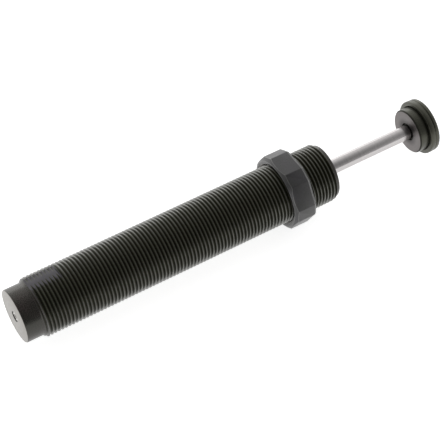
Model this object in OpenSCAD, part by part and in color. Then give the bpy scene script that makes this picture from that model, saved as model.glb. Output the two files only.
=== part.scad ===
// Industrial shock absorber: fully threaded oil damper with a sprung rod,
// a round strike button and one lock nut. Millimetres, +Z up.
// The rod slides along X and points to +X. The origin lies on the axis, in the
// plane of the lock nut's front face, which seats against a bracket.

/* [Body] */
// Outer diameter over the thread crests
thread_d = 24; // [22:0.5:36]
// Length of the whole body
body_len = 136.4; // [126:0.2:180]
// Radial drop from the thread crests to the plain neck behind them
neck_drop = 1.35; // [0.5:0.05:2]
// Length of the plain neck, up to the cone that leads into the thread
neck_len = 6.7; // [3:0.1:12]
// Length of the cone between the neck and the thread
neck_cone_len = 1.4; // [0.6:0.1:4]
// Chamfer round the closed end
rear_chamfer = 0.4; // [0.2:0.1:1]
// Axial length of the chamfer at the open end
front_chamfer_len = 1.5; // [0.5:0.1:3]
// Radial depth of the chamfer at the open end
front_chamfer_drop = 0.7; // [0.3:0.1:1]
// Bore of the body
body_bore_d = 18.5; // [16:0.1:19.5]
// Lead-in chamfer at the mouth of the bore
mouth_chamfer = 0.5; // [0.2:0.1:0.8]
// Thickness of the closed end
end_wall = 8; // [7:0.1:14]
// Length of the small flat milled on the thread at the closed end
flat_len = 12.7; // [6:0.1:25]
// Depth of the milled flat below the thread crests
flat_depth = 0.7; // [0.3:0.05:1]
// Turn of the milled flat away from straight up
flat_turn = 12.5; // [0:0.5:60]

/* [Fill port] */
// Nominal diameter of the fill screw
fill_screw_d = 4; // [3:0.5:5]
// Length of the fill screw
fill_screw_len = 3.2; // [2.5:0.1:5]
// How far the fill screw lies below the end face
fill_screw_inset = 0.3; // [0:0.1:1]
// Key size of the hexagon socket in the fill screw
fill_key_af = 2; // [1.5:0.1:2.5]
// Depth of the hexagon socket
fill_key_depth = 1.5; // [1:0.1:2]
// Diameter of the ball that seals the fill port
fill_ball_d = 3; // [2:0.1:3.4]
// Diameter of the fill drilling under the ball
fill_drill_d = 1.8; // [1:0.1:1.9]

/* [Lock nut] */
// Wall between the thread crests and the flats
nut_flat_wall = 2.55; // [1:0.05:8]
// Wall between the thread crests and the narrow flats cut on the corners
nut_corner_wall = 3.2; // [1.5:0.1:10]
// Thickness of the nut
nut_len = 9.4; // [5:0.1:14]
// Distance from the nut's front face to the open end of the body
nut_setback = 13.6; // [3:0.1:60]
// Radial depth of the chamfer at the front end of the nut's sides
nut_chamfer_drop = 0.5; // [0.2:0.05:1]
// Axial length of that chamfer
nut_chamfer_len = 0.8; // [0.3:0.1:2]
// Radial depth of the turned chamfer at the back of the nut
nut_back_drop = 1.75; // [0.6:0.05:2]
// Length of the turned chamfer at the back of the nut
nut_back_chamfer_len = 1.4; // [0.4:0.1:2]
// Radial width of the countersink round the thread at each face
nut_mouth = 0.6; // [0.1:0.1:1]

/* [Rod and button] */
// Diameter of the piston rod
rod_d = 6; // [5:0.5:8]
// Stroke of the rod
stroke = 40; // [20:1:42]
// Gap left between the button and the body at the end of the stroke
stop_gap = 0.3; // [0.2:0.1:2]
// Diameter of the threaded stud at the rod's piston end
rod_shank_d = 4; // [3:0.5:4.5]
// Diameter of the stud that screws into the button
rod_stud_d = 4.5; // [3:0.5:5]
// Length of the stud that screws into the button
rod_stud_len = 3.4; // [2:0.1:3.8]
// Diameter of the steel button
button_d = 18.5; // [14:0.1:20]
// Length of the button that shows behind its cap
button_bare_len = 4; // [1:0.1:6]
// Chamfer round the button's rear face
button_chamfer = 0.45; // [0.2:0.05:0.8]
// Depth of the counterbore round the rod
button_sink_depth = 0.8; // [0.4:0.1:1]
// Diameter of the counterbore round the rod
button_sink_d = 7.4; // [7:0.1:10]
// Depth of the button's hidden head inside the cap
button_head_len = 2.5; // [2.2:0.1:5]
// Width of the snap groove round the hidden head
button_groove_w = 1; // [0.6:0.1:1.2]
// Depth of the snap groove
button_groove_depth = 0.9; // [0.5:0.1:1.5]
// Diameter of the cap's rear ring
cap_d = 22.6; // [19.5:0.1:30]
// Diameter of the cap's front flange
cap_flange_d = 22.4; // [20:0.1:30]
// Thickness of the cap's front flange
cap_flange_len = 1.7; // [1:0.1:4]
// Height of the cap's rear ring
cap_ring_len = 2.3; // [1.6:0.1:5]
// Depth of the V groove between the ring and the flange
cap_groove_depth = 0.4; // [0.2:0.1:0.8]
// Rounding of the cap's outer edges
cap_edge = 0.5; // [0.2:0.1:0.8]

/* [Pressure tube] */
// Bore of the pressure tube
tube_bore_d = 12.6; // [11:0.1:14]
// Wall of the pressure tube
tube_wall = 1.5; // [1:0.1:1.7]
// Number of metering orifices
orifice_count = 8; // [4:1:14]
// Diameter of a metering orifice
orifice_d = 1.1; // [0.6:0.1:1.4]
// Turn from one metering orifice to the next
orifice_turn = 35; // [15:5:90]
// Diameter of the return ports at the tube's front end
port_d = 1.8; // [1:0.1:2]
// Number of return ports
port_count = 4; // [2:1:6]
// Thickness of the base flange that closes the tube
base_len = 2.5; // [2:0.1:5]
// Length of the spigots that centre the tube at both ends
spigot_len = 3; // [2:0.1:5]
// Oil hole through the base
base_hole_d = 3; // [2:0.1:6]
// Width of the oil slots across the base
base_slot_w = 2; // [1:0.1:4]
// Depth of the oil slots across the base
base_slot_depth = 1; // [0.5:0.1:1.5]

/* [Return spring] */
// Wire diameter
spring_wire_d = 1; // [0.7:0.1:1.2]
// Mean diameter of the coils
spring_mean_d = 10.4; // [10.1:0.1:11]
// Number of coils, with one closed coil at each end
spring_coils = 14; // [8:1:16]
// Length of the spring when the rod is pushed right in
spring_short_len = 20; // [17:0.5:26]

/* [Piston] */
// Length of the piston's head
piston_len = 5; // [3:0.1:8]
// Diameter of the boss that carries the check ring
piston_boss_d = 8.4; // [7:0.1:9]
// Diameter of the flow holes through the head
flow_hole_d = 1.4; // [0.8:0.1:1.6]
// Number of flow holes
flow_hole_count = 6; // [3:1:8]
// Width of the check ring
check_ring_len = 2.5; // [1.5:0.1:4]
// Free play of the check ring along the boss
check_ring_play = 0.6; // [0.3:0.1:1]
// Radial thickness of the check ring
check_ring_wall = 1.5; // [1:0.1:1.8]
// Thickness of the seat washer in front of the check ring
seat_len = 1.2; // [0.8:0.1:2]
// Radial gap between the seat washer and the tube, for the oil
seat_flow_gap = 0.5; // [0.2:0.1:0.8]
// Thickness of the spring guide's flange
guide_flange_len = 1; // [0.6:0.1:2]
// Length of the spring guide's collar
guide_collar_len = 2.2; // [1:0.1:4]
// Size across the flats of the piston nut
piston_nut_af = 7; // [5.5:0.1:8]
// Thickness of the piston nut
piston_nut_len = 3.2; // [2:0.1:4]
// How far the rod's shank stands out of the piston nut
shank_out = 0.8; // [0:0.1:2]

/* [Rod guide and seals] */
// Length of the guide's rear flange
guide_rear_len = 4; // [2.5:0.1:8]
// Length of the guide's front head
guide_head_len = 17.4; // [15:0.1:25]
// Diameter of the waist that carries the foam
guide_waist_d = 11; // [10:0.1:13]
// Number of oil notches in the rear flange
guide_notch_count = 4; // [2:1:6]
// Width of an oil notch
guide_notch_w = 3; // [1.5:0.1:4]
// Depth of an oil notch
guide_notch_depth = 1.6; // [0.8:0.1:2]
// Outer diameter of the plain bush
bush_d = 8; // [7.5:0.1:9]
// Length of the plain bush
bush_len = 12; // [6:0.5:16]
// Diameter of the seal pocket
seal_d = 11; // [10:0.1:12.5]
// Length of the rod seal
seal_len = 4.2; // [3:0.1:6]
// Length of the rod wiper
wiper_len = 3.8; // [2.5:0.1:6]
// Section of the O-ring round the guide
oring_section = 1.5; // [1.2:0.1:2]
// Width of the O-ring groove
oring_groove_w = 2; // [1.8:0.1:3]
// Thickness of the end plate
plate_len = 2; // [1.2:0.1:4]
// Thickness of the retaining ring
circlip_len = 1; // [0.8:0.1:1.2]
// Radial depth of the retaining ring's groove
circlip_groove_depth = 0.75; // [0.4:0.05:0.8]
// Radial width of the retaining ring
circlip_wall = 1.9; // [1.4:0.1:2.4]
// Distance from the body's open end to the retaining ring's groove
circlip_inset = 1.2; // [0.8:0.1:3]
// Outer diameter of a lug on the retaining ring
circlip_lug_d = 3.4; // [2.8:0.1:4]

/* [Fits] */
// Radial running clearance of the rod in its bush
rod_fit = 0.03; // [0.01:0.01:0.1]
// Radial clearance of the rod in its seals
seal_fit = 0.04; // [0.01:0.01:0.1]
// Radial running clearance of the piston and check ring in the tube
piston_fit = 0.03; // [0.01:0.01:0.1]
// Radial clearance of the lock nut on the thread crests
nut_fit = 0.05; // [0.01:0.01:0.1]
// Radial clearance between fixed pieces that slide together
seat_fit = 0.05; // [0.01:0.01:0.1]
// Radial clearance where the rod passes through without touching
pass_gap = 0.35; // [0.2:0.05:0.8]
// Axial gap at a stop between moving pieces
rest_gap = 0.3; // [0.2:0.05:0.6]
// Gap kept at the ends of the spring
spring_gap = 0.05; // [0.02:0.01:0.2]

/* [Hidden] */
$fn = 96;
eps = 0.01;

// Stations along the axis
front_x = nut_setback;
rear_x = front_x - body_len;
floor_x = rear_x + end_wall;
tube_x = floor_x + base_len;
spring_x = tube_x + spigot_len;
spring_len = spring_short_len + stroke;
boss_len = check_ring_len + check_ring_play + 2 * spring_gap;
piston_stack = seat_len + boss_len + piston_len + guide_flange_len;
shoulder_x = spring_x + spring_len + piston_stack;
guide_x = shoulder_x + rest_gap;
tube_front_x = guide_x + spigot_len;
tube_len = tube_front_x - tube_x;
plate_front_x = front_x - circlip_inset - circlip_len;
plate_x = plate_front_x - plate_len;
head_x = plate_x - guide_head_len;
pocket_x = plate_x - seal_len - wiper_len;
button_x = front_x + stroke + stop_gap;
cap_x = button_x + button_bare_len;
cap_len = cap_ring_len + cap_flange_len;

// Radii that several pieces share
bore_r = body_bore_d / 2;
inner_r = bore_r - seat_fit;
tube_r = tube_bore_d / 2;
tube_out_r = tube_r + tube_wall;
spigot_r = tube_r - seat_fit;
groove_r = bore_r + circlip_groove_depth;
oring_floor_r = bore_r - oring_section + 0.1;
shank_hole_r = rod_shank_d / 2 + seat_fit;
fill_hole_r = fill_screw_d / 2;
ball_r = fill_ball_d / 2;
ball_lift = sqrt(pow(ball_r, 2) - pow(fill_drill_d / 2, 2));
fill_depth = fill_screw_inset + fill_screw_len + ball_r + ball_lift;

steel_black = [0.10, 0.10, 0.09];
steel_bare = [0.62, 0.61, 0.60];
steel_chrome = [0.78, 0.79, 0.82];
steel_blued = [0.30, 0.31, 0.33];
bronze = [0.66, 0.47, 0.24];
brass_tone = [0.76, 0.62, 0.32];
rubber_black = [0.07, 0.07, 0.07];
urethane = [0.16, 0.22, 0.20];
seal_green = [0.12, 0.34, 0.26];
foam_gray = [0.35, 0.36, 0.38];
cap_dark = [0.14, 0.15, 0.13];

// Lays a piece drawn along Z on the object's axis, starting at x
module on_axis(x) {
    translate([x, 0, 0]) rotate([0, 90, 0]) children();
}

// Turned solid from a half profile of [radius, height] points
module turned(points) {
    rotate_extrude() polygon(points);
}

// Plain disc or ring
module ring(outer_r, inner_r, len) {
    difference() {
        cylinder(r = outer_r, h = len);
        translate([0, 0, -eps]) cylinder(r = inner_r, h = len + 2 * eps);
    }
}

// Hexagon prism with two sides square to the local X axis
module hexagon(af, len) {
    rotate([0, 0, 30]) cylinder(r = af / 2 / cos(30), h = len, $fn = 6);
}

// Holes spread evenly on a circle, along Z
module hole_circle(count, circle_r, hole_r, len) {
    for (i = [0:count - 1]) {
        rotate([0, 0, i * 360 / count]) translate([circle_r, 0, 0]) cylinder(r = hole_r, h = len);
    }
}

module body_blank() {
    r = thread_d / 2;
    neck_r = r - neck_drop;
    turned([
        [0, 0],
        [neck_r - rear_chamfer, 0],
        [neck_r, rear_chamfer],
        [neck_r, neck_len],
        [r, neck_len + neck_cone_len],
        [r, body_len - front_chamfer_len],
        [r - front_chamfer_drop, body_len],
        [0, body_len]
    ]);
}

// Stepped bore with the retaining ring's groove and a lead-in at its mouth
module body_bore() {
    depth = body_len - end_wall;
    groove_top = depth - circlip_inset;
    turned([
        [0, 0],
        [bore_r, 0],
        [bore_r, groove_top - circlip_len],
        [groove_r, groove_top - circlip_len],
        [groove_r, groove_top],
        [bore_r, groove_top],
        [bore_r, depth - mouth_chamfer],
        [bore_r + mouth_chamfer + eps, depth + eps],
        [0, depth + eps]
    ]);
}

module fill_port() {
    translate([0, 0, -eps]) cylinder(r = fill_hole_r + seat_fit, h = fill_depth + eps);
    cylinder(r = fill_drill_d / 2, h = end_wall + 1);
    translate([0, 0, -eps])
        cylinder(r1 = fill_hole_r + seat_fit + 0.3, r2 = fill_hole_r + seat_fit, h = 0.3);
}

// Small flat milled across the first threads
module milled_flat() {
    start = neck_len + neck_cone_len / 2;
    rotate([0, 0, -flat_turn])
        translate([-thread_d, -thread_d / 2, start])
            cube([thread_d / 2 + flat_depth, thread_d, flat_len]);
}

module threaded_body() {
    color(steel_black) on_axis(rear_x) difference() {
        body_blank();
        translate([0, 0, end_wall]) body_bore();
        fill_port();
        milled_flat();
    }
}

module fill_screw() {
    c = 0.3;
    color(steel_bare) on_axis(rear_x + fill_screw_inset) difference() {
        turned([
            [0, 0],
            [fill_hole_r - c, 0],
            [fill_hole_r, c],
            [fill_hole_r, fill_screw_len - c],
            [fill_hole_r - c, fill_screw_len],
            [0, fill_screw_len]
        ]);
        translate([0, 0, -eps]) hexagon(fill_key_af, fill_key_depth + eps);
    }
}

module fill_ball() {
    color(steel_chrome)
        translate([rear_x + fill_depth - ball_lift, 0, 0])
            sphere(r = ball_r - 0.02);
}

// Hexagon prism with its sides chamfered at the far end
module chamfered_hexagon(af, len) {
    side_r = af / 2 / cos(30);
    face_r = side_r - nut_chamfer_drop / cos(30);
    straight = len - nut_chamfer_len;
    rotate([0, 0, 30]) {
        cylinder(r = side_r, h = straight, $fn = 6);
        translate([0, 0, straight])
            cylinder(r1 = side_r, r2 = face_r, h = nut_chamfer_len, $fn = 6);
    }
}

// Turned outline that chamfers the back of the nut's sides
module nut_envelope() {
    wide_r = thread_d / 2 + nut_corner_wall + 0.5;
    turned([
        [0, 0],
        [wide_r - nut_back_drop, 0],
        [wide_r, nut_back_chamfer_len],
        [wide_r, nut_len + eps],
        [0, nut_len + eps]
    ]);
}

// Six sides and six narrow corner flats, chamfered at the front
module nut_sides() {
    intersection() {
        chamfered_hexagon(thread_d + 2 * nut_flat_wall, nut_len);
        rotate([0, 0, 30]) chamfered_hexagon(thread_d + 2 * nut_corner_wall, nut_len);
    }
}

module lock_nut() {
    hole_r = thread_d / 2 + nut_fit;
    mouth_r = thread_d / 2 + nut_mouth;
    mouth_len = mouth_r - hole_r;
    color(steel_black) on_axis(-nut_len) difference() {
        intersection() {
            nut_sides();
            nut_envelope();
        }
        turned([
            [0, -eps],
            [mouth_r + eps, -eps],
            [hole_r, mouth_len],
            [hole_r, nut_len - mouth_len],
            [mouth_r + eps, nut_len + eps],
            [0, nut_len + eps]
        ]);
    }
}

module tube_base() {
    color(steel_bare) on_axis(floor_x) difference() {
        turned([
            [0, 0],
            [inner_r, 0],
            [inner_r, base_len],
            [spigot_r, base_len],
            [spigot_r, base_len + spigot_len],
            [0, base_len + spigot_len]
        ]);
        translate([0, 0, -eps])
            cylinder(r = base_hole_d / 2, h = base_len + spigot_len + 2 * eps);
        for (a = [0, 90]) {
            rotate([0, 0, a])
                translate([-bore_r, -base_slot_w / 2, -eps])
                    cube([body_bore_d, base_slot_w, base_slot_depth + eps]);
            rotate([0, 0, a])
                translate([tube_out_r + 0.2, -base_slot_w / 2, -eps])
                    cube([bore_r, base_slot_w, base_len + 2 * eps]);
            rotate([0, 0, a + 180])
                translate([tube_out_r + 0.2, -base_slot_w / 2, -eps])
                    cube([bore_r, base_slot_w, base_len + 2 * eps]);
        }
    }
}

// Orifices are closer together towards the end of the stroke, so the free area
// falls off with the square root of the travel that is left
module metering_orifices() {
    lead_x = spring_x + spring_short_len + stroke + guide_flange_len;
    for (i = [0:orifice_count - 1]) {
        left = 1 - i / orifice_count;
        x = lead_x - stroke * (1 - left * left) - orifice_d;
        translate([0, 0, x - tube_x]) rotate([0, 0, i * orifice_turn])
            rotate([0, 90, 0]) cylinder(r = orifice_d / 2, h = tube_out_r + 1);
    }
}

module return_ports() {
    for (i = [0:port_count - 1]) {
        translate([0, 0, guide_x - tube_x - port_d / 2 - rest_gap])
            rotate([0, 0, 45 + i * 360 / port_count])
                rotate([0, 90, 0]) cylinder(r = port_d / 2, h = tube_out_r + 1);
    }
}

module pressure_tube() {
    color(steel_bare) on_axis(tube_x) difference() {
        ring(tube_out_r, tube_r, tube_len);
        metering_orifices();
        return_ports();
    }
}

// Height of the wire's centre after a number of turns, with closed end coils
function coil_height(turns, total, wire, len) =
    turns < 1 ? wire / 2 + wire * turns :
    turns > total - 1 ? len - wire / 2 - wire * (total - turns) :
    1.5 * wire + (len - 3 * wire) * (turns - 1) / (total - 2);

module coil_spring(mean_r, wire, total, len) {
    sides = 8;
    steps = 14;
    last = total * steps;
    points = [
        for (i = [0:last], k = [0:sides - 1])
            let (
                turn = 360 * i / steps,
                r = mean_r + wire / 2 * cos(360 * k / sides),
                z = coil_height(i / steps, total, wire, len) + wire / 2 * sin(360 * k / sides)
            )
            [r * cos(turn), r * sin(turn), z]
    ];
    skin = [
        for (i = [0:last - 1], k = [0:sides - 1])
            [i * sides + k, (i + 1) * sides + k, (i + 1) * sides + (k + 1) % sides,
                i * sides + (k + 1) % sides]
    ];
    first_end = [for (k = [0:sides - 1]) k];
    far_end = [for (k = [sides - 1:-1:0]) last * sides + k];
    polyhedron(points, concat(skin, [first_end, far_end]), convexity = 10);
}

module return_spring() {
    color(steel_blued) on_axis(spring_x + spring_gap)
        coil_spring(spring_mean_d / 2, spring_wire_d, spring_coils, spring_len - 2 * spring_gap);
}

module spring_guide() {
    collar_r = (spring_mean_d - spring_wire_d) / 2 - 0.3;
    flange_r = tube_r - 0.35;
    len = guide_collar_len + guide_flange_len;
    color(steel_bare) on_axis(spring_x + spring_len - guide_collar_len) turned([
        [shank_hole_r, 0],
        [collar_r - 0.3, 0],
        [collar_r, 0.3],
        [collar_r, guide_collar_len],
        [flange_r, guide_collar_len],
        [flange_r, len],
        [shank_hole_r, len]
    ]);
}

module piston_nut() {
    nut_x = spring_x + spring_len - guide_collar_len - piston_nut_len;
    color(steel_bare) on_axis(nut_x) difference() {
        hexagon(piston_nut_af, piston_nut_len);
        translate([0, 0, -eps]) cylinder(r = shank_hole_r, h = piston_nut_len + 2 * eps);
    }
}

module piston() {
    head_r = tube_r - piston_fit - 0.03;
    boss_r = piston_boss_d / 2;
    len = piston_len + boss_len;
    color(brass_tone) on_axis(spring_x + spring_len + guide_flange_len) difference() {
        turned([
            [shank_hole_r, 0],
            [head_r - 0.3, 0],
            [head_r, 0.3],
            [head_r, piston_len],
            [boss_r, piston_len],
            [boss_r, len],
            [shank_hole_r, len]
        ]);
        translate([0, 0, -eps])
            hole_circle(flow_hole_count, boss_r + flow_hole_d / 2 - 0.2, flow_hole_d / 2,
                piston_len + 2 * eps);
    }
}

module check_ring() {
    ring_r = tube_r - piston_fit;
    ring_x = shoulder_x - seat_len - spring_gap - check_ring_len;
    color(bronze) on_axis(ring_x) ring(ring_r, ring_r - check_ring_wall, check_ring_len);
}

module seat_washer() {
    color(steel_bare) on_axis(shoulder_x - seat_len)
        ring(tube_r - seat_flow_gap, shank_hole_r, seat_len);
}

module piston_rod() {
    shank_len = piston_stack + guide_collar_len + piston_nut_len + shank_out;
    rod_len = button_x + button_sink_depth - shoulder_x;
    rod_r = rod_d / 2;
    shank_r = rod_shank_d / 2;
    stud_r = rod_stud_d / 2;
    c = 0.3;
    color(steel_chrome) on_axis(shoulder_x) turned([
        [0, -shank_len],
        [shank_r - c, -shank_len],
        [shank_r, c - shank_len],
        [shank_r, 0],
        [rod_r - c, 0],
        [rod_r, c],
        [rod_r, rod_len],
        [stud_r, rod_len],
        [stud_r, rod_len + rod_stud_len - c],
        [stud_r - c, rod_len + rod_stud_len],
        [0, rod_len + rod_stud_len]
    ]);
}

// Spool that plugs the tube, carries the foam, the bush and the seals
module rod_guide() {
    waist_r = guide_waist_d / 2;
    pass_r = rod_d / 2 + pass_gap;
    bush_r = bush_d / 2 + seat_fit;
    pocket_r = seal_d / 2 + seat_fit;
    oring_x = (pocket_x + plate_x) / 2;
    back = guide_x;
    color(steel_bare) on_axis(guide_x) difference() {
        turned([
            [pass_r, 0],
            [spigot_r - 0.3, 0],
            [spigot_r, 0.3],
            [spigot_r, spigot_len],
            [inner_r, spigot_len],
            [inner_r, spigot_len + guide_rear_len],
            [waist_r, spigot_len + guide_rear_len],
            [waist_r, head_x - back],
            [inner_r, head_x - back],
            [inner_r, oring_x - oring_groove_w / 2 - back],
            [oring_floor_r, oring_x - oring_groove_w / 2 - back],
            [oring_floor_r, oring_x + oring_groove_w / 2 - back],
            [inner_r, oring_x + oring_groove_w / 2 - back],
            [inner_r, plate_x - back],
            [pocket_r, plate_x - back],
            [pocket_r, pocket_x - back],
            [bush_r, pocket_x - back],
            [bush_r, pocket_x - bush_len - back],
            [pass_r, pocket_x - bush_len - back]
        ]);
        for (i = [0:guide_notch_count - 1]) {
            rotate([0, 0, 45 + i * 360 / guide_notch_count])
                translate([bore_r - guide_notch_depth, -guide_notch_w / 2, spigot_len - eps])
                    cube([bore_r, guide_notch_w, guide_rear_len + 2 * eps]);
        }
    }
}

module guide_bush() {
    color(bronze) on_axis(pocket_x - bush_len)
        ring(bush_d / 2, rod_d / 2 + rod_fit, bush_len);
}

module accumulator_foam() {
    foam_x = tube_front_x + guide_rear_len;
    color(foam_gray) on_axis(foam_x)
        ring(inner_r - 0.5, guide_waist_d / 2 + 0.1, head_x - foam_x);
}

module guide_oring() {
    section_r = (bore_r - oring_floor_r) / 2;
    color(rubber_black) on_axis((pocket_x + plate_x) / 2)
        rotate_extrude() translate([oring_floor_r + section_r, 0]) circle(r = section_r - 0.02, $fn = 32);
}

// Lip seal, open towards the oil
module rod_seal() {
    out_r = seal_d / 2;
    lip_r = rod_d / 2 + seal_fit;
    mid_r = (out_r + lip_r) / 2;
    color(seal_green) on_axis(pocket_x) turned([
        [lip_r, 0.3],
        [lip_r + 0.4, 0],
        [mid_r - 0.5, 0.3],
        [mid_r - 0.3, seal_len * 0.55],
        [mid_r + 0.3, seal_len * 0.55],
        [mid_r + 0.5, 0.3],
        [out_r - 0.4, 0],
        [out_r, 0.3],
        [out_r, seal_len],
        [lip_r + 0.3, seal_len],
        [lip_r + 0.3, seal_len * 0.5],
        [lip_r, seal_len * 0.3]
    ]);
}

// Wiper with its scraping lip towards the open end
module rod_wiper() {
    out_r = seal_d / 2;
    lip_r = rod_d / 2 + seal_fit;
    color(urethane) on_axis(pocket_x + seal_len) turned([
        [lip_r + 0.5, 0],
        [out_r, 0],
        [out_r, wiper_len],
        [out_r - 0.8, wiper_len],
        [lip_r + 1, wiper_len - 1],
        [lip_r + 0.2, wiper_len],
        [lip_r, wiper_len - 0.3],
        [lip_r + 0.5, wiper_len * 0.4]
    ]);
}

module end_plate() {
    pass_r = rod_d / 2 + pass_gap;
    color(steel_black) on_axis(plate_x) turned([
        [pass_r, 0],
        [inner_r, 0],
        [inner_r, plate_len - 0.3],
        [inner_r - 0.3, plate_len],
        [pass_r + 0.5, plate_len],
        [pass_r, plate_len - 0.5]
    ]);
}

// Internal retaining ring with two pierced lugs at its gap
module retaining_ring() {
    out_r = groove_r - seat_fit;
    mid_r = out_r - circlip_wall;
    lug_r = circlip_lug_d / 2;
    lug_at = bore_r - 0.4 - lug_r;
    lug_turn = 17;
    color(steel_blued) on_axis(plate_front_x) linear_extrude(circlip_len - 0.02) difference() {
        union() {
            difference() {
                circle(r = out_r);
                circle(r = mid_r);
                rotate(180) translate([0, -1.6]) square([out_r + 1, 3.2]);
            }
            for (a = [-lug_turn, lug_turn]) rotate(180 + a) translate([lug_at, 0]) circle(r = lug_r);
        }
        for (a = [-lug_turn, lug_turn]) rotate(180 + a) translate([lug_at, 0]) circle(r = 0.75);
    }
}

module button() {
    r = button_d / 2;
    sink_r = button_sink_d / 2;
    hole_r = rod_stud_d / 2 + seat_fit;
    full = button_bare_len + button_head_len;
    g0 = button_bare_len + (button_head_len - button_groove_w) / 2;
    color(steel_bare) on_axis(button_x) turned([
        [sink_r, 0],
        [r - button_chamfer, 0],
        [r, button_chamfer],
        [r, g0],
        [r - button_groove_depth, g0],
        [r - button_groove_depth, g0 + button_groove_w],
        [r, g0 + button_groove_w],
        [r, full],
        [0, full],
        [0, button_sink_depth + rod_stud_len + 0.2],
        [hole_r, button_sink_depth + rod_stud_len + 0.2],
        [hole_r, button_sink_depth],
        [sink_r, button_sink_depth]
    ]);
}

// Strike cap that snaps over the button's head
module button_cap() {
    r = cap_d / 2;
    rim_r = cap_flange_d / 2;
    hold_r = button_d / 2 + seat_fit;
    lip_r = hold_r - button_groove_depth + 0.1;
    g0 = (button_head_len - button_groove_w) / 2 + seat_fit;
    g1 = g0 + button_groove_w - 2 * seat_fit;
    v = cap_groove_depth;
    e = cap_edge;
    color(cap_dark) on_axis(cap_x) turned([
        [hold_r + 0.3, 0],
        [r - e, 0],
        [r - 0.3 * e, 0.3 * e],
        [r, e],
        [r, cap_ring_len - v],
        [r - v, cap_ring_len],
        [rim_r, cap_ring_len + v],
        [rim_r, cap_len - e],
        [rim_r - 0.3 * e, cap_len - 0.3 * e],
        [rim_r - e, cap_len],
        [0, cap_len],
        [0, button_head_len],
        [hold_r, button_head_len],
        [hold_r, g1],
        [lip_r, g1],
        [lip_r, g0],
        [hold_r, g0],
        [hold_r, 0.3]
    ]);
}

threaded_body();
fill_screw();
fill_ball();
lock_nut();
tube_base();
pressure_tube();
return_spring();
spring_guide();
piston_nut();
piston();
check_ring();
seat_washer();
piston_rod();
rod_guide();
guide_bush();
accumulator_foam();
guide_oring();
rod_seal();
rod_wiper();
end_plate();
retaining_ring();
button();
button_cap();
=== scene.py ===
"""Dresses the industrial shock absorber: threaded body, lock nut, rod and strike button."""

import math

import bmesh
import bpy
from mathutils import Matrix, Vector


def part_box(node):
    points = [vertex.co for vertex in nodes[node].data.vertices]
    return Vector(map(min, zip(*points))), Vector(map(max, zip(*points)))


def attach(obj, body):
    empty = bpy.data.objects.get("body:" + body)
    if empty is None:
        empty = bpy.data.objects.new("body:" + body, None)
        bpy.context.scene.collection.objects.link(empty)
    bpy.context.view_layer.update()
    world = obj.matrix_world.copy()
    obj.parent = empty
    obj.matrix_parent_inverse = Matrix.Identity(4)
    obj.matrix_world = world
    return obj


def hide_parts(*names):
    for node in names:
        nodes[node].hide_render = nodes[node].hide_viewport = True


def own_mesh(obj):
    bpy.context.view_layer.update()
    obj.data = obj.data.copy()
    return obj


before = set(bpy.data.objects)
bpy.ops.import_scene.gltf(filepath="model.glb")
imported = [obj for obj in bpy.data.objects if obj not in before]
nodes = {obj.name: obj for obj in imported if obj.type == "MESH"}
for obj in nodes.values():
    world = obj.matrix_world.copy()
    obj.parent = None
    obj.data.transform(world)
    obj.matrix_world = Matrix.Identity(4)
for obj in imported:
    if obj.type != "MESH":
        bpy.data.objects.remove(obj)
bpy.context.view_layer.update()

# Sizes are in millimetres unless a name says otherwise. The object's axis is the X axis.
MM = 0.001
X_AXIS = (1, 0, 0)
ORIGIN = (0, 0, 0)
QUARTER_TURN = math.radians(90)
HALF_SIDE = math.radians(30)  # half of the angle that one side of a hexagon spans
OVERSHOOT = 1  # how far a cutting tool reaches past the piece


def lowest_mm(node):
    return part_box(node)[0] / MM


def highest_mm(node):
    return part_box(node)[1] / MM


# ---------------------------------------------------------------- mesh tools

SMOOTH_ANGLE = 32.0
CUT_SMOOTH_ANGLE = 28.0


def finished(name, bm):
    """Makes a named object of a bmesh drawn in millimetres."""
    bmesh.ops.remove_doubles(bm, verts=bm.verts, dist=1e-5)
    bmesh.ops.recalc_face_normals(bm, faces=bm.faces)
    bmesh.ops.scale(bm, vec=(MM, MM, MM), verts=bm.verts)
    mesh = bpy.data.meshes.new(name)
    bm.to_mesh(mesh)
    bm.free()
    obj = bpy.data.objects.new(name, mesh)
    bpy.context.scene.collection.objects.link(obj)
    shade(obj, SMOOTH_ANGLE)
    return obj


def shade(obj, smooth_angle):
    """Shades smooth, with sharp edges where the faces turn by more than the angle."""
    obj.data.shade_smooth()
    obj.data.set_sharp_from_angle(angle=math.radians(smooth_angle))


def profile(bm, points, closed):
    """Draws half a section. Each point is (x, radius) or (x, radius, fillet)."""
    verts = [bm.verts.new((point[0], 0.0, point[1])) for point in points]
    pairs = list(zip(verts, verts[1:])) + ([(verts[-1], verts[0])] if closed else [])
    for a, b in pairs:
        bm.edges.new((a, b))
    for vert, point in zip(verts, points):
        if len(point) == 3:
            bmesh.ops.bevel(bm, geom=[vert], affect="VERTICES", offset=point[2],
                            segments=3, profile=0.5, material=-1)


def turned(name, points, steps, closed=True):
    """Turns a section once round the axis. One that starts and ends on the axis isn't closed."""
    bm = bmesh.new()
    profile(bm, points, closed)
    bmesh.ops.spin(bm, geom=bm.verts[:] + bm.edges[:], cent=ORIGIN, axis=X_AXIS,
                   angle=math.tau, steps=steps, use_merge=True)
    return finished(name, bm)


def cut(obj, tool, operation):
    """Applies one exact boolean to obj and drops the tool."""
    step = obj.modifiers.new("cut", "BOOLEAN")
    step.operation = operation
    step.solver = "EXACT"
    step.object = tool
    apply_modifiers(obj)
    bpy.data.objects.remove(tool)


def apply_modifiers(obj):
    graph = bpy.context.evaluated_depsgraph_get()
    mesh = bpy.data.meshes.new_from_object(obj.evaluated_get(graph))
    obj.modifiers.clear()
    old = obj.data
    obj.data = mesh
    mesh.name = obj.name
    bpy.data.meshes.remove(old)


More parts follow.
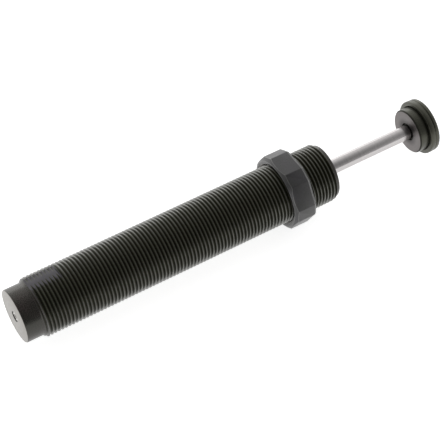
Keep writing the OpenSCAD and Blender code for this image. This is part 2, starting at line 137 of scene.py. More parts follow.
def hexagon_prism(bm, middle, length, flat_r):
    """Six-sided prism along the axis, flat_r from the axis to a side."""
    corner_r = flat_r / math.cos(HALF_SIDE)
    bmesh.ops.create_cone(bm, cap_ends=True, segments=6, radius1=corner_r, radius2=corner_r,
                          depth=length)
    bmesh.ops.rotate(bm, cent=ORIGIN, matrix=Matrix.Rotation(QUARTER_TURN, 3, "Y"), verts=bm.verts)
    bmesh.ops.translate(bm, vec=(middle, 0, 0), verts=bm.verts)


# ---------------------------------------------------------------- body

# Thread
PITCH = 1.489
CREST_R = 12.0
ROOT_R = 11.08
ROOT_ROUNDING = 0.05
THREAD_STEPS = 96
THREAD_START = -2.61  # from the rear face, and sets where the crests fall
THREAD_RUN_OUT = 3
START_TIP = 3
END_TIP = 6

# Closed end
NECK_R = 10.65
NECK_LEN = 6.7
CONE_LEN = 1.4
BLANK_R = 12.6
FLOOR_LEN = 8
DRILL_R = 0.9
PORT_R = 2.05
PORT_COUNTERSINK = 0.3
BALL_SEAT_DEPTH = 0.28  # how far the port reaches short of the ball's far side

# Open end
BORE_R = 9.25
RING_GROOVE_LEN = 1
RING_GROOVE_DEPTH = 0.75
RING_GAP = 0.02
MOUTH_CHAMFER = 0.5
LAND_LEN = 1.35
LAND_R = ROOT_R - 0.03
LAND_SLOPE_LEN = 0.8

# Milled flat
FLAT_LEN = 12.7
FLAT_DEPTH = 0.95
FLAT_TURN = math.radians(12.5)
MILL_WIDTH = 16
MILL_HEIGHT = 6

rear = lowest_mm("threaded_body").x
front = highest_mm("threaded_body").x


def thread_solid(start, end):
    """A right-hand thread as a closed solid: one turn of a many-pitch section, joined to itself."""
    bm = bmesh.new()
    crest = PITCH / 8
    root = PITCH / 4
    flank = (PITCH - crest - root) / 2
    section = []
    for i in range(math.ceil((end - start) / PITCH)):
        x = start + i * PITCH
        section += [
            (x, CREST_R),
            (x + crest, CREST_R),
            (x + crest + flank, ROOT_R + ROOT_ROUNDING),
            (x + crest + flank + root / 2, ROOT_R),
            (x + crest + flank + root, ROOT_R + ROOT_ROUNDING),
        ]
    profile(bm, section, closed=False)
    bmesh.ops.spin(bm, geom=bm.verts[:] + bm.edges[:], cent=ORIGIN, axis=X_AXIS,
                   dvec=(PITCH / THREAD_STEPS, 0, 0), angle=math.tau, steps=THREAD_STEPS)
    bmesh.ops.remove_doubles(bm, verts=bm.verts, dist=1e-4)
    for side, tip_x in ((-1, start - START_TIP), (1, end + END_TIP)):
        rim = [e for e in bm.edges if e.is_boundary and
               (e.verts[0].co.x - (start + end) / 2) * side > 0]
        made = bmesh.ops.extrude_edge_only(bm, edges=rim)["geom"]
        tips = [g for g in made if isinstance(g, bmesh.types.BMVert)]
        bmesh.ops.pointmerge(bm, verts=tips, merge_co=(tip_x, 0, 0))
    return finished("thread_tool", bm)


def body_blank():
    """Everything turned on the body: neck, cone, front land, bore, ring groove and fill port."""
    slope = (CREST_R - NECK_R) / CONE_LEN
    cone_top = rear + NECK_LEN + (BLANK_R - NECK_R) / slope
    land_start = front - LAND_LEN
    groove = highest_mm("retaining_ring").x + RING_GAP
    floor = rear + FLOOR_LEN
    port = highest_mm("fill_ball").x - BALL_SEAT_DEPTH
    return turned("threaded_body_shell", [
        (rear, PORT_R + PORT_COUNTERSINK),
        (rear, NECK_R, 0.4),
        (rear + NECK_LEN, NECK_R, 0.25),
        (cone_top, BLANK_R),
        (land_start - LAND_SLOPE_LEN, BLANK_R),
        (land_start, LAND_R, 0.15),
        (front, LAND_R, 0.35),
        (front, BORE_R + MOUTH_CHAMFER, 0.1),
        (front - MOUTH_CHAMFER, BORE_R),
        (groove, BORE_R),
        (groove, BORE_R + RING_GROOVE_DEPTH),
        (groove - RING_GROOVE_LEN, BORE_R + RING_GROOVE_DEPTH),
        (groove - RING_GROOVE_LEN, BORE_R),
        (floor, BORE_R),
        (floor, DRILL_R),
        (port, DRILL_R),
        (port, PORT_R),
        (rear + PORT_COUNTERSINK, PORT_R),
    ], steps=THREAD_STEPS)


def milled_cutter():
    """Block that mills the small flat on the first threads."""
    bm = bmesh.new()
    bmesh.ops.create_cube(bm, size=1.0)
    bmesh.ops.scale(bm, vec=(FLAT_LEN, MILL_WIDTH, MILL_HEIGHT), verts=bm.verts)
    low = CREST_R - FLAT_DEPTH
    middle = rear + NECK_LEN + CONE_LEN / 2 + FLAT_LEN / 2
    bmesh.ops.translate(bm, vec=(middle, 0, low + MILL_HEIGHT / 2), verts=bm.verts)
    bmesh.ops.rotate(bm, cent=ORIGIN, matrix=Matrix.Rotation(-FLAT_TURN, 3, "X"), verts=bm.verts)
    return finished("flat_tool", bm)


body = body_blank()
cut(body, thread_solid(rear + THREAD_START, front + THREAD_RUN_OUT), "INTERSECT")
cut(body, milled_cutter(), "DIFFERENCE")
shade(body, CUT_SMOOTH_ANGLE)

# ---------------------------------------------------------------- lock nut

FLAT_WALL = 2.55
CORNER_WALL = 3.2
FRONT_CHAMFER_DROP = 0.5
FRONT_CHAMFER_LEN = 0.8
BACK_WALL = 3.7
BACK_CHAMFER_DROP = 1.75
BACK_CHAMFER_LEN = 1.4
NUT_FIT = 0.05
NUT_MOUTH = 0.55
RECESS_DEPTH = 0.25
RECESS_RIM = 0.4
EDGE_ROUNDING = 0.2
EDGE_ANGLE = 18
NUT_SMOOTH_ANGLE = 12
EDGE_SLOT = 1

nut_back = lowest_mm("lock_nut").x
nut_face = highest_mm("lock_nut").x


def nut_sides():
    """Six sides, one of them facing up, and six narrow corner flats, chamfered at the front."""
    bm = bmesh.new()
    flat_r = CREST_R + FLAT_WALL
    straight_end = nut_face - FRONT_CHAMFER_LEN
    hexagon_prism(bm, (nut_back + straight_end) / 2, straight_end - nut_back, flat_r)
    bm.normal_update()
    if max(f.normal.z for f in bm.faces) < 0.99:
        bmesh.ops.rotate(bm, cent=ORIGIN, matrix=Matrix.Rotation(HALF_SIDE, 3, "X"), verts=bm.verts)
    corners = [e for e in bm.edges if abs((e.verts[0].co - e.verts[1].co).x) > 1]
    corner_depth = flat_r / math.cos(HALF_SIDE) - CREST_R - CORNER_WALL
    bmesh.ops.bevel(bm, geom=corners, affect="EDGES", offset_type="OFFSET",
                    offset=2 * corner_depth, segments=1, profile=0.5, material=-1)
    bm.normal_update()
    front_end = [f for f in bm.faces if f.normal.x > 0.99]
    bmesh.ops.inset_region(bm, faces=front_end, thickness=FRONT_CHAMFER_DROP,
                           depth=FRONT_CHAMFER_LEN, use_even_offset=True)
    return finished("lock_nut_shell", bm)


def nut_envelope():
    """Turned outline that chamfers the nut's back."""
    wide_r = CREST_R + BACK_WALL
    back_r = wide_r - BACK_CHAMFER_DROP * (1 + OVERSHOOT / BACK_CHAMFER_LEN)
    return turned("nut_envelope", [
        (nut_back - OVERSHOOT, 0),
        (nut_back - OVERSHOOT, back_r),
        (nut_back + BACK_CHAMFER_LEN, wide_r),
        (nut_face + OVERSHOOT, wide_r),
        (nut_face + OVERSHOOT, 0),
    ], steps=192, closed=False)


def nut_bore():
    """Thread bore with a shallow recess and countersink at the back, and a countersink in front."""
    hole_r = CREST_R + NUT_FIT
    mouth_r = hole_r + NUT_MOUTH
    return turned("nut_bore_tool", [
        (nut_back - OVERSHOOT, 0),
        (nut_back - OVERSHOOT, mouth_r + RECESS_RIM),
        (nut_back + RECESS_DEPTH, mouth_r + RECESS_RIM),
        (nut_back + RECESS_DEPTH, mouth_r),
        (nut_back + RECESS_DEPTH + NUT_MOUTH, hole_r),
        (nut_face - NUT_MOUTH, hole_r),
        (nut_face + OVERSHOOT, mouth_r + OVERSHOOT),
        (nut_face + OVERSHOOT, 0),
    ], steps=96, closed=False)


def soften_edges(obj):
    """Rounds the sharp edges, and marks the new faces with the edge slot."""
    soft = obj.modifiers.new("edges", "BEVEL")
    soft.width = EDGE_ROUNDING * MM
    soft.segments = 2
    soft.limit_method = "ANGLE"
    soft.angle_limit = math.radians(EDGE_ANGLE)
    for _ in range(EDGE_SLOT + 1):
        obj.data.materials.append(None)
    soft.material = EDGE_SLOT
    apply_modifiers(obj)


nut = nut_sides()
cut(nut, nut_envelope(), "INTERSECT")
cut(nut, nut_bore(), "DIFFERENCE")
soften_edges(nut)
shade(nut, NUT_SMOOTH_ANGLE)

# ---------------------------------------------------------------- rod and button

# Rod
ROD_R = 3
SHANK_R = 2
WASHER_LEN = 1.2
STUD_R = 2.25
STUD_END = 4.2

# Disc: the button's bare steel. Places along it are from its rear face
SINK_R = 3.7
SINK_DEPTH = 0.8
DISC_R = 9.25
DISC_CHAMFER = 0.45
DISC_LEN = 6.5
DISC_GROOVE_R = 8.35
DISC_GROOVE_START = 4.75
DISC_GROOVE_END = 5.75
STUD_HOLE_R = 2.3
STUD_HOLE_END = 4.4
BUTTON_STEPS = 144

rod_end = lowest_mm("piston_rod").x
shoulder = lowest_mm("seat_washer").x + WASHER_LEN
disc_back = lowest_mm("button").x

rod = turned("piston_rod_shell", [
    (rod_end, 0),
    (rod_end, SHANK_R, 0.3),
    (shoulder, SHANK_R),
    (shoulder, ROD_R, 0.3),
    (disc_back + SINK_DEPTH, ROD_R),
    (disc_back + SINK_DEPTH, STUD_R),
    (disc_back + STUD_END, STUD_R),
    (disc_back + STUD_END, 0),
], steps=96, closed=False)

disc = turned("button_shell", [
    (disc_back, SINK_R, 0.12),
    (disc_back, DISC_R - DISC_CHAMFER, 0.08),
    (disc_back + DISC_CHAMFER, DISC_R, 0.08),
    (disc_back + DISC_GROOVE_START, DISC_R),
    (disc_back + DISC_GROOVE_START, DISC_GROOVE_R),
    (disc_back + DISC_GROOVE_END, DISC_GROOVE_R),
    (disc_back + DISC_GROOVE_END, DISC_R),
    (disc_back + DISC_LEN, DISC_R),
    (disc_back + DISC_LEN, 0),
    (disc_back + STUD_HOLE_END, 0),
    (disc_back + STUD_HOLE_END, STUD_HOLE_R),
    (disc_back + SINK_DEPTH, STUD_HOLE_R),
    (disc_back + SINK_DEPTH, SINK_R),
], steps=BUTTON_STEPS)

# Cap: the dark ring and flange round the disc, snapped into the disc's groove. Places along it
# are from its rear end
CAP_R = 11.3
CAP_RING_END = 1.9
CAP_GROOVE_R = 10.9
CAP_GROOVE_MIDDLE = 2.3
CAP_FLANGE_R = 11.2
CAP_FLANGE_START = 2.7
CAP_LEN = 4
CAP_SEAT_R = 9.3
CAP_SEAT_END = 2.5
CAP_LIP_R = 8.5
CAP_LIP_START = 0.8
CAP_LIP_END = 1.7
CAP_LEAD_IN = 0.3

cap_back = lowest_mm("button_cap").x

cap = turned("button_cap_shell", [
    (cap_back, CAP_SEAT_R + CAP_LEAD_IN),
    (cap_back, CAP_R, 0.5),
    (cap_back + CAP_RING_END, CAP_R, 0.1),
    (cap_back + CAP_GROOVE_MIDDLE, CAP_GROOVE_R),
    (cap_back + CAP_FLANGE_START, CAP_FLANGE_R),
    (cap_back + CAP_LEN, CAP_FLANGE_R, 0.45),
    (cap_back + CAP_LEN, 0),
    (cap_back + CAP_SEAT_END, 0),
    (cap_back + CAP_SEAT_END, CAP_SEAT_R),
    (cap_back + CAP_LIP_END, CAP_SEAT_R),
    (cap_back + CAP_LIP_END, CAP_LIP_R),
    (cap_back + CAP_LIP_START, CAP_LIP_R),
    (cap_back + CAP_LIP_START, CAP_SEAT_R),
    (cap_back + CAP_LEAD_IN, CAP_SEAT_R),
], steps=BUTTON_STEPS)

# ---------------------------------------------------------------- fill screw

SCREW_R = 2
SCREW_CHAMFER = 0.25
SCREW_TIP = 0.3
KEY_FLAT_R = 1.0
KEY_DEPTH = 1.5


def fill_screw():
    """Plug of the fill port, with a hexagon socket."""
    back = lowest_mm("fill_screw").x
    tip = highest_mm("fill_screw").x
    screw = turned("fill_screw_shell", [
        (back, 0),
        (back, SCREW_R - SCREW_CHAMFER, 0.08),
        (back + SCREW_CHAMFER, SCREW_R),
        (tip - SCREW_TIP, SCREW_R),
        (tip, SCREW_R - SCREW_TIP),
        (tip, 0),
    ], steps=64, closed=False)
    bm = bmesh.new()
    hexagon_prism(bm, back, 2 * KEY_DEPTH, KEY_FLAT_R)
    cut(screw, finished("key_tool", bm), "DIFFERENCE")
    shade(screw, CUT_SMOOTH_ANGLE)
    return screw


plug = fill_screw()

PIECES = [
    (body, "threaded_body", "housing", "body_black"),
    (plug, "fill_screw", "housing", "bare_steel"),
    (nut, "lock_nut", "nut", "nut_black"),
    (rod, "piston_rod", "rod", "chrome_rod"),
    (disc, "button", "rod", "bare_steel"),
    (cap, "button_cap", "rod", "cap_dark"),
]
for piece, node, carrier, finish_slot in PIECES:
    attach(piece, carrier)
    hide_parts(node)


# ---------------------------------------------------------------- shader tools

def feed(tree, value, socket):
    """Links a socket to another, or sets it to a plain value."""
    if isinstance(value, bpy.types.NodeSocket):
        tree.links.new(value, socket)
    else:
        socket.default_value = value


def math_node(tree, operation, a, b, clamp=False):
    """A Math node fed by sockets or plain numbers."""
    n = tree.nodes.new("ShaderNodeMath")
    n.operation = operation
    n.use_clamp = clamp
    feed(tree, a, n.inputs[0])
    feed(tree, b, n.inputs[1])
    return n.outputs[0]


def spread(tree, value, low, high, to_low, to_high):
    """Moves a value from one range to another and holds it there."""
    n = tree.nodes.new("ShaderNodeMapRange")
    tree.links.new(value, n.inputs["Value"])
    n.inputs["From Min"].default_value = low
    n.inputs["From Max"].default_value = high
    n.inputs["To Min"].default_value = to_low
    n.inputs["To Max"].default_value = to_high
    return n.outputs["Result"]


def mixed(tree, mask, low, high):
    """Colour between two, by a mask. Each is a colour or the socket of one."""
    n = tree.nodes.new("ShaderNodeMix")
    n.data_type = "RGBA"
    tree.links.new(mask, n.inputs["Factor"])
    for label, colour in (("A", low), ("B", high)):
        plain = not isinstance(colour, bpy.types.NodeSocket)
        feed(tree, (*colour, 1) if plain else colour, n.inputs[label])
    return n.outputs["Result"]


def bumped(tree, shader, height, strength, distance):
    """Turns a height, with its depth in metres, into the shader's normal."""
    n = tree.nodes.new("ShaderNodeBump")
    n.inputs["Strength"].default_value = strength
    n.inputs["Distance"].default_value = distance
    tree.links.new(height, n.inputs["Height"])
    tree.links.new(n.outputs["Normal"], shader.inputs["Normal"])


# ---------------------------------------------------------------- shader groups

def group(name, inputs, outputs):
    """Starts a shader group of number sockets and returns (tree, input node, output node)."""
    tree = bpy.data.node_groups.new(name, "ShaderNodeTree")
    for label, value in inputs.items():
        socket = tree.interface.new_socket(label, in_out="INPUT", socket_type="NodeSocketFloat")
        socket.default_value = value
    for label in outputs:
        tree.interface.new_socket(label, in_out="OUTPUT", socket_type="NodeSocketFloat")
    return tree, tree.nodes.new("NodeGroupInput"), tree.nodes.new("NodeGroupOutput")


def add_group(tree, source, **values):
    """Places a shader group, with its inputs set by name."""
    n = tree.nodes.new("ShaderNodeGroup")
    n.node_tree = source
    for label, value in values.items():
        n.inputs[label.replace("_", " ")].default_value = value
    return n


def axis_place_group():
    """Distance from the object's axis and place along it, both in millimetres."""
    tree, _, out = group("axis_place", {}, ["Radius", "Along"])
    place = tree.nodes.new("ShaderNodeTexCoord")
    parts = tree.nodes.new("ShaderNodeSeparateXYZ")
    tree.links.new(place.outputs["Object"], parts.inputs[0])
    across = tree.nodes.new("ShaderNodeCombineXYZ")
    tree.links.new(parts.outputs["Y"], across.inputs["Y"])
    tree.links.new(parts.outputs["Z"], across.inputs["Z"])
    length = tree.nodes.new("ShaderNodeVectorMath")
    length.operation = "LENGTH"
    tree.links.new(across.outputs[0], length.inputs[0])
    for label, metres in (("Radius", length.outputs["Value"]), ("Along", parts.outputs["X"])):
        tree.links.new(math_node(tree, "MULTIPLY", metres, 1 / MM), out.inputs[label])
    return tree


def surface_mottle_group():
    """Soft cloudy variation and fine grain, both about 0 to 1."""
    tree, inp, out = group("surface_mottle", {"Cloud Scale": 120.0, "Grain Scale": 2500.0},
                           ["Cloud", "Grain"])
    place = tree.nodes.new("ShaderNodeTexCoord")
    for label in ("Cloud", "Grain"):
        noise = tree.nodes.new("ShaderNodeTexNoise")
        noise.inputs["Detail"].default_value = 3.0
        noise.inputs["Roughness"].default_value = 0.55
        tree.links.new(place.outputs["Object"], noise.inputs["Vector"])
        tree.links.new(inp.outputs[label + " Scale"], noise.inputs["Scale"])
        tree.links.new(noise.outputs["Fac"], out.inputs[label])
    return tree


def lathe_marks_group():
    """Fine tool marks, a spacing in millimetres apart.

    They are rings by radius on a face at an Along Share of 0, and rings by place
    along a turned side at 1.
    """
    tree, inp, out = group("lathe_marks", {"Spacing": 0.3, "Along Share": 0.0},
                           ["Height", "Band"])
    place = add_group(tree, AXIS_PLACE)
    side = math_node(tree, "MULTIPLY", place.outputs["Along"], inp.outputs["Along Share"])
    face_share = math_node(tree, "SUBTRACT", 1.0, inp.outputs["Along Share"])
    face = math_node(tree, "MULTIPLY", place.outputs["Radius"], face_share)
    run = math_node(tree, "DIVIDE", math_node(tree, "ADD", side, face), inp.outputs["Spacing"])
    for label, scale, detail in (("Height", 1.0, 2.0), ("Band", 0.23, 3.0)):
        line = tree.nodes.new("ShaderNodeTexNoise")
        line.noise_dimensions = "1D"
        line.inputs["Scale"].default_value = scale
        line.inputs["Detail"].default_value = detail
        tree.links.new(run, line.inputs["W"])
        tree.links.new(line.outputs["Fac"], out.inputs[label])
    return tree


AXIS_PLACE = axis_place_group()
MOTTLE = surface_mottle_group()
LATHE = lathe_marks_group()

# ---------------------------------------------------------------- finishes

CLOUD_LOW, CLOUD_HIGH = 0.3, 0.7  # the part of a noise's range that is put to use
OLIVE = (1, 1, 0.8)
GRAIN_DEPTH = 0.00002  # in metres
LATHE_DEPTH = 0.00003  # in metres
# Thread valley tone: painted shade, darker where the crests shade the valleys. The crest tone is
# the worn oxide.
VALLEY_SHADE_TONE = (0.008, 0.008, 0.002)
CREST_TONE = (0.042, 0.042, 0.023)
# Painted shade and painted dark reflection of the rod on the button's face.
ROD_SHADE_TONE = (0.006, 0.005, 0.004)


def material(name, roughness, metallic=0.0):
    """Starts a material with its one Principled shader."""
    m = bpy.data.materials.new(name)
    m.use_nodes = True
    shader = shader_of(m)
    shader.inputs["Roughness"].default_value = roughness
    shader.inputs["Metallic"].default_value = metallic
    return m


def shader_of(m):
    return m.node_tree.nodes["Principled BSDF"]


def grained(name, roughness, ior, tint, grain_bump, cloud_scale):
    """Dull skin with a fine grain. Returns the material and the socket of its clouds."""
    m = material(name, roughness)
    tree, shader = m.node_tree, shader_of(m)
    shader.inputs["IOR"].default_value = ior
    shader.inputs["Specular Tint"].default_value = (*tint, 1)
    mottle = add_group(tree, MOTTLE, Cloud_Scale=cloud_scale, Grain_Scale=3000.0)
    grain = mottle.outputs["Grain"]
    tree.links.new(
        spread(tree, grain, CLOUD_LOW, CLOUD_HIGH, roughness - 0.05, roughness + 0.06),
        shader.inputs["Roughness"])
    bumped(tree, shader, grain, grain_bump, GRAIN_DEPTH)
    return m, mottle.outputs["Cloud"]


def oxide(name, dark, light, roughness, ior=1.8, tint=OLIVE, grain_bump=0.15):
    """Blackened steel, rubber or foam: a cloudy tone with a fine grain."""
    m, cloud = grained(name, roughness, ior, tint, grain_bump, 140.0)
    tree = m.node_tree
    tone = mixed(tree, spread(tree, cloud, CLOUD_LOW, CLOUD_HIGH, 0, 1), dark, light)
    tree.links.new(tone, shader_of(m).inputs["Base Color"])
    return m


def thread_oxide():
    """Black oxide, rubbed paler on the thread's crests and glossier there by a coat; the valleys'
    darker tone and missing coat are painted shade.
    """
    m, cloud = grained("black_oxide_thread", 0.3, 1.9, OLIVE, 0.15, 300.0)
    tree, shader = m.node_tree, shader_of(m)
    shader.inputs["Specular IOR Level"].default_value = 0.2
    shader.inputs["Coat Roughness"].default_value = 0.3
    shader.inputs["Coat IOR"].default_value = 1.9
    place = add_group(tree, AXIS_PLACE)
    # Crest mask by radius: the valleys below it take painted shade, the dark valley tone and no
    # coat; the crests take the worn tone.
    crest = spread(tree, place.outputs["Radius"], ROOT_R + 0.35, CREST_R - 0.05, 0, 1)
    rubbed = spread(tree, cloud, CLOUD_LOW, CLOUD_HIGH, 0.75, 1.1)
    wear_and_valley_shade = math_node(tree, "MULTIPLY", crest, rubbed, clamp=True)
    tree.links.new(mixed(tree, wear_and_valley_shade, VALLEY_SHADE_TONE, CREST_TONE), shader.inputs["Base Color"])
    tree.links.new(crest, shader.inputs["Coat Weight"])
    return m


def turned_steel(name, dark, light, roughness, spacing, along, strength=0.3):
    """Bare metal with the lathe's rings."""
    m = material(name, roughness, 1.0)
    tree, shader = m.node_tree, shader_of(m)
    marks = add_group(tree, LATHE, Spacing=spacing, Along_Share=along)
    band = marks.outputs["Band"]
    tree.links.new(mixed(tree, band, dark, light), shader.inputs["Base Color"])
    tree.links.new(
        spread(tree, band, CLOUD_LOW, CLOUD_HIGH, roughness - 0.06, roughness + 0.06),
        shader.inputs["Roughness"])
    bumped(tree, shader, marks.outputs["Height"], strength, LATHE_DEPTH)
    return m


def rod_shaded_face():
    """The disc's turned steel, darkened round the rod by painted shade and a painted dark
    reflection of the rod.
    """
    m = turned_steel("turned_button", (0.11, 0.101, 0.099), (0.22, 0.204, 0.20), 0.42,
                     spacing=0.4, along=0.0)
    tree, shader = m.node_tree, shader_of(m)
    steel = shader.inputs["Base Color"].links[0].from_socket
    place = add_group(tree, AXIS_PLACE)
    # Painted shade round the rod: darkest at the rod, full steel from 6.2 mm out.
    out_of_rod_shade = spread(tree, place.outputs["Radius"], 3.6, 6.2, 0.25, 1.0)
    tree.links.new(mixed(tree, out_of_rod_shade, ROD_SHADE_TONE, steel), shader.inputs["Base Color"])
    return m


THREAD_OXIDE = thread_oxide()
NECK_OXIDE = oxide("black_oxide_neck", (0.007, 0.009, 0.006), (0.030, 0.022, 0.021), 0.26,
                   ior=1.58, tint=(1, 0.98, 0.9))
NUT_OXIDE = oxide("black_oxide_nut", (0.002, 0.004, 0.000), (0.019, 0.017, 0.022), 0.31,
                  ior=1.72, tint=(1, 0.985, 0.985))
# Nut's rounded edges: a paler tone that is partly wear and partly painted highlight.
WORN_HIGHLIT_NUT_EDGES = oxide("worn_highlit_nut_edges", (0.02, 0.02, 0.018), (0.24, 0.24, 0.23), 0.34,
                  ior=2.0, tint=(1, 1, 1))
FACE_STEEL = turned_steel("turned_end_face", (0.24, 0.229, 0.211), (0.345, 0.33, 0.306), 0.36,
                          spacing=0.25, along=0.0)
FLAT_OXIDE = oxide("milled_flat", (0.030, 0.027, 0.034), (0.048, 0.044, 0.054), 0.50,
                   ior=1.5, tint=(1, 0.98, 1))
DISC_STEEL = rod_shaded_face()
# Matte black on the button's bare chamfer and on the sink round the rod: painted shade.
SHADE_BLACK_RIM = oxide("painted_shade_rim", (0.006, 0.006, 0.005), (0.012, 0.012, 0.010), 0.5, ior=1.4)
BUTTON_OXIDE = oxide("black_oxide_button", (0.005, 0.005, 0.004), (0.012, 0.012, 0.009), 0.30,
                     ior=1.65)
SCREW_STEEL = turned_steel("fill_screw_steel", (0.84, 0.82, 0.80), (0.95, 0.93, 0.90), 0.34,
                           spacing=0.2, along=0.0)
ROD_CHROME = turned_steel("ground_chrome", (0.45, 0.43, 0.43), (0.55, 0.53, 0.525), 0.21,
                          spacing=0.2, along=1.0, strength=0.08)
CAP_DARK = oxide("dark_cap", (0.007, 0.007, 0.005), (0.016, 0.016, 0.012), 0.34, ior=1.7)
INNER_STEEL = turned_steel("inner_steel", (0.35, 0.34, 0.33), (0.50, 0.49, 0.48), 0.35,
                           spacing=0.3, along=1.0)
SPRING_STEEL = oxide("oiled_spring", (0.10, 0.10, 0.11), (0.17, 0.17, 0.18), 0.35)
BRASS = turned_steel("machined_brass", (0.60, 0.42, 0.16), (0.74, 0.55, 0.24), 0.32,
                     spacing=0.25, along=1.0)
RUBBER = oxide("seal_rubber", (0.012, 0.012, 0.012), (0.020, 0.020, 0.020), 0.55, ior=1.5)
URETHANE = oxide("seal_urethane", (0.03, 0.09, 0.07), (0.05, 0.13, 0.10), 0.45, ior=1.5)
FOAM = oxide("closed_cell_foam", (0.08, 0.08, 0.09), (0.14, 0.14, 0.15), 0.8, ior=1.4,
             grain_bump=0.8)


# ---------------------------------------------------------------- finish of each face

def dress(obj, *materials, choose=None):
    """Gives obj its materials. choose(face, spot, reach) picks one of them for each face.

    spot is the face's middle and reach its distance from the axis, both in millimetres.
    """
    picks = []
    if choose:
        for face in obj.data.polygons:
            spot = face.center / MM
            picks.append(materials.index(choose(face, spot, math.hypot(spot.y, spot.z))))
    obj.data.materials.clear()
    for m in materials:
        obj.data.materials.append(m)
    for face, pick in zip(obj.data.polygons, picks):
        face.material_index = pick


FLAT_NORMAL = Matrix.Rotation(-FLAT_TURN, 3, "X") @ Vector((0, 0, 1))
NEAR = 0.05  # how close to an edge or a plane a face's middle still counts as on it
NUT_MOUTH_R = CREST_R + 0.9
NUT_MOUTH_END = 1.2
RIM_END = 0.46
SINK_OUTSIDE_R = 4


def body_finish(face, spot, reach):
    """Bright closed end, dull milled flat, smooth neck, cone and land, and rubbed thread."""
    if face.normal.x < -0.9 and spot.x < rear + NEAR:
        return FACE_STEEL
    height = spot.dot(FLAT_NORMAL) - CREST_R + FLAT_DEPTH
    if face.normal.dot(FLAT_NORMAL) > 0.999 and abs(height) < 0.02:
        return FLAT_OXIDE
    if spot.x < rear + NECK_LEN or spot.x > front - LAND_LEN:
        return NECK_OXIDE
    if spot.x < rear + NECK_LEN + CONE_LEN and face.normal.x < -0.4:
        return NECK_OXIDE
    return THREAD_OXIDE


def plug_finish(face, spot, reach):
    """Bright screw; its chamfer and side take the dark oxide as painted shade in the seam round it.
    """
    # Beyond the screw's face, the dark oxide is painted shade in the port's seam.
    return NECK_OXIDE if reach > SCREW_R - SCREW_CHAMFER + NEAR else SCREW_STEEL


def nut_finish(face, spot, reach):
    """Dark sides, paler edges that are partly worn and partly a painted highlight, and a bright
    countersink at the back.
    """
    deep = spot.x - nut_back
    if reach < NUT_MOUTH_R and NEAR < deep < NUT_MOUTH_END:
        countersunk = deep > RECESS_DEPTH + NEAR and abs(face.normal.x) > 0.5
        return FACE_STEEL if countersunk else NECK_OXIDE
    # Edges take the paler tone: partly wear, partly painted highlight.
    if face.material_index == EDGE_SLOT and abs(face.normal.x) > 0.1:
        return WORN_HIGHLIT_NUT_EDGES
    return NUT_OXIDE


def disc_finish(face, spot, reach):
    """Bright rear face, chamfer and sink in matte black as painted shade, and dark side."""
    if spot.x < disc_back + NEAR and face.normal.x < -0.95:
        return DISC_STEEL
    # The chamfer and sink take the matte black as painted shade.
    if spot.x < disc_back + RIM_END or reach < SINK_OUTSIDE_R:
        return SHADE_BLACK_RIM
    return BUTTON_OXIDE


dress(body, THREAD_OXIDE, FACE_STEEL, FLAT_OXIDE, NECK_OXIDE, choose=body_finish)
dress(plug, SCREW_STEEL, NECK_OXIDE, choose=plug_finish)
dress(nut, NUT_OXIDE, WORN_HIGHLIT_NUT_EDGES, FACE_STEEL, NECK_OXIDE, choose=nut_finish)
dress(rod, ROD_CHROME)
dress(disc, BUTTON_OXIDE, DISC_STEEL, SHADE_BLACK_RIM, choose=disc_finish)
dress(cap, CAP_DARK)

INNER = {
    "fill_ball": ROD_CHROME, "tube_base": INNER_STEEL, "pressure_tube": INNER_STEEL,
    "return_spring": SPRING_STEEL, "spring_guide": INNER_STEEL, "piston_nut": INNER_STEEL,
    "piston": BRASS, "check_ring": BRASS, "seat_washer": INNER_STEEL, "rod_guide": INNER_STEEL,
    "guide_bush": BRASS, "accumulator_foam": FOAM, "guide_oring": RUBBER,
    "rod_seal": URETHANE, "rod_wiper": URETHANE, "end_plate": NECK_OXIDE,
    "retaining_ring": SPRING_STEEL,
}
for name, m in INNER.items():
    dress(nodes[name], m)

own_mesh(nodes["return_spring"])

# ---------------------------------------------------------------- floor, lights, camera

# Lengths in this part are in metres.
FLOOR_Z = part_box("lock_nut")[0].z - 0.0001
FLOOR_HALF = 3.0
FLOOR_TONE = (0.85, 0.85, 0.85, 1)
FLOOR_GLOW = 0.82
WHITE = (1, 1, 1, 1)
DIM_SIDE = Vector((-0.45, -0.58, 0.68)).normalized()
ROOM_BRIGHT = 1.04
ROOM_DIM = 0.2
DIM_FROM, DIM_FULLY = 0.0, 0.8  # how far a direction faces the dim side
CAMERA_SWING = math.radians(37.6)
CAMERA_LEAD = math.radians(19.1)
CAMERA_TILT = math.radians(25.2)
CAMERA_TARGET = Vector((-0.03466, 0, 0))
CAMERA_DISTANCE = 0.603


def floor_glow(tree):
    """Emission for the rays that look at the floor, straight or in a mirror."""
    glow = tree.nodes.new("ShaderNodeEmission")
    glow.inputs["Color"].default_value = WHITE
    path = tree.nodes.new("ShaderNodeLightPath")
    mirrored = math_node(tree, "ADD", path.outputs["Is Glossy Ray"],
                         path.outputs["Is Transmission Ray"])
    seen = math_node(tree, "ADD", path.outputs["Is Camera Ray"], mirrored, clamp=True)
    tree.links.new(math_node(tree, "MULTIPLY", seen, FLOOR_GLOW), glow.inputs["Strength"])
    return glow


def white_floor():
    """White floor that keeps the object's shadow."""
    bm = bmesh.new()
    bmesh.ops.create_grid(bm, x_segments=1, y_segments=1, size=FLOOR_HALF)
    bmesh.ops.translate(bm, vec=(0, 0, FLOOR_Z), verts=bm.verts)
    mesh = bpy.data.meshes.new("floor")
    bm.to_mesh(mesh)
    bm.free()
    floor = bpy.data.objects.new("floor", mesh)
    bpy.context.scene.collection.objects.link(floor)
    m = bpy.data.materials.new("white_floor")
    m.use_nodes = True
    tree = m.node_tree
    tree.nodes.remove(tree.nodes["Principled BSDF"])
    matte = tree.nodes.new("ShaderNodeBsdfDiffuse")
    matte.inputs["Color"].default_value = FLOOR_TONE
    both = tree.nodes.new("ShaderNodeAddShader")
    tree.links.new(matte.outputs[0], both.inputs[0])
    tree.links.new(floor_glow(tree).outputs[0], both.inputs[1])
    tree.links.new(both.outputs[0], tree.nodes["Material Output"].inputs["Surface"])
    mesh.materials.append(m)


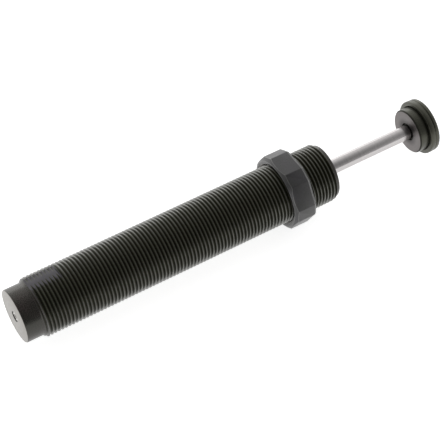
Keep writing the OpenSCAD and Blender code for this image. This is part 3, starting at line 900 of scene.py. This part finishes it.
def area_light(name, place, target, size, watts):
    """Rectangular lamp at a place, facing a target."""
    lamp = bpy.data.lights.new(name, "AREA")
    lamp.shape = "RECTANGLE"
    lamp.size, lamp.size_y = size
    lamp.energy = watts
    obj = bpy.data.objects.new(name, lamp)
    obj.location = place
    aim = Vector(target) - Vector(place)
    obj.rotation_euler = aim.to_track_quat("-Z", "Y").to_euler()
    bpy.context.scene.collection.objects.link(obj)


def world_light():
    """A white room that falls off to grey above the viewer's side."""
    world = bpy.data.worlds.new("studio")
    bpy.context.scene.world = world
    world.use_nodes = True
    tree = world.node_tree
    back = tree.nodes["Background"]
    back.inputs["Color"].default_value = WHITE
    place = tree.nodes.new("ShaderNodeTexCoord")
    facing = tree.nodes.new("ShaderNodeVectorMath")
    facing.operation = "DOT_PRODUCT"
    facing.inputs[1].default_value = DIM_SIDE
    tree.links.new(place.outputs["Generated"], facing.inputs[0])
    level = spread(tree, facing.outputs["Value"], DIM_FROM, DIM_FULLY, ROOM_BRIGHT, ROOM_DIM)
    tree.links.new(level, back.inputs["Strength"])


def make_camera():
    """Stands on the -Y side and looks down on the body, a little from its closed end."""
    axis = Vector(X_AXIS)
    side = Vector((0, -math.sin(CAMERA_SWING), math.cos(CAMERA_SWING)))
    back = side * math.cos(CAMERA_LEAD) - axis * math.sin(CAMERA_LEAD)
    run = side * math.sin(CAMERA_LEAD) + axis * math.cos(CAMERA_LEAD)
    across = back.cross(run)
    right = run * math.cos(CAMERA_TILT) - across * math.sin(CAMERA_TILT)
    up = run * math.sin(CAMERA_TILT) + across * math.cos(CAMERA_TILT)
    turn = Matrix((right, up, back)).transposed()
    place = Matrix.Translation(CAMERA_TARGET + back * CAMERA_DISTANCE)
    data = bpy.data.cameras.new("camera")
    data.sensor_width = 36.0
    data.lens = 128.0
    data.clip_start = 0.01
    data.clip_end = 20
    camera = bpy.data.objects.new("camera", data)
    camera.matrix_world = place @ turn.to_4x4()
    bpy.context.scene.collection.objects.link(camera)
    bpy.context.scene.camera = camera


white_floor()
area_light("back_panel", (0.1, 1.2, 0.28), (-0.03, 0, 0), size=(1.8, 0.5), watts=2.5)
world_light()
make_camera()
bpy.context.scene.view_settings.view_transform = "Standard"
